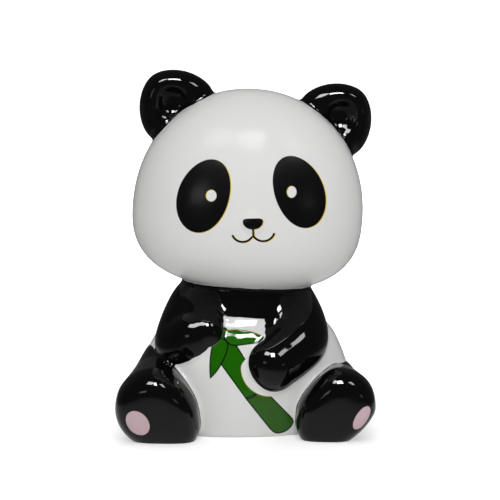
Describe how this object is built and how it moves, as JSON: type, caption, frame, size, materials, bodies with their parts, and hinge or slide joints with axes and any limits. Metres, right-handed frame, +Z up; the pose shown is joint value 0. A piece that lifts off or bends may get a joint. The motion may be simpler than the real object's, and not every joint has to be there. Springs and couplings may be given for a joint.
{
  "type": "panda figurine",
  "caption": "Sitting panda figurine with a large round head, dished ears, arms held to its belly and splayed feet, cast in one piece and glazed.",
  "frame": {"origin": "on the table, under the middle of the figure's box", "axes": "+Z up, the face towards -Y, +X to the right of someone who looks at the face"},
  "size_m": [0.1096, 0.0866, 0.15],
  "materials": {
    "glaze": "glossy white and black glaze, with fired transfers for the eyes, nose, mouth, foot pads and bamboo"
  },
  "bodies": {
    "root": {"panda": "glaze"}
  },
  "joints": []
}
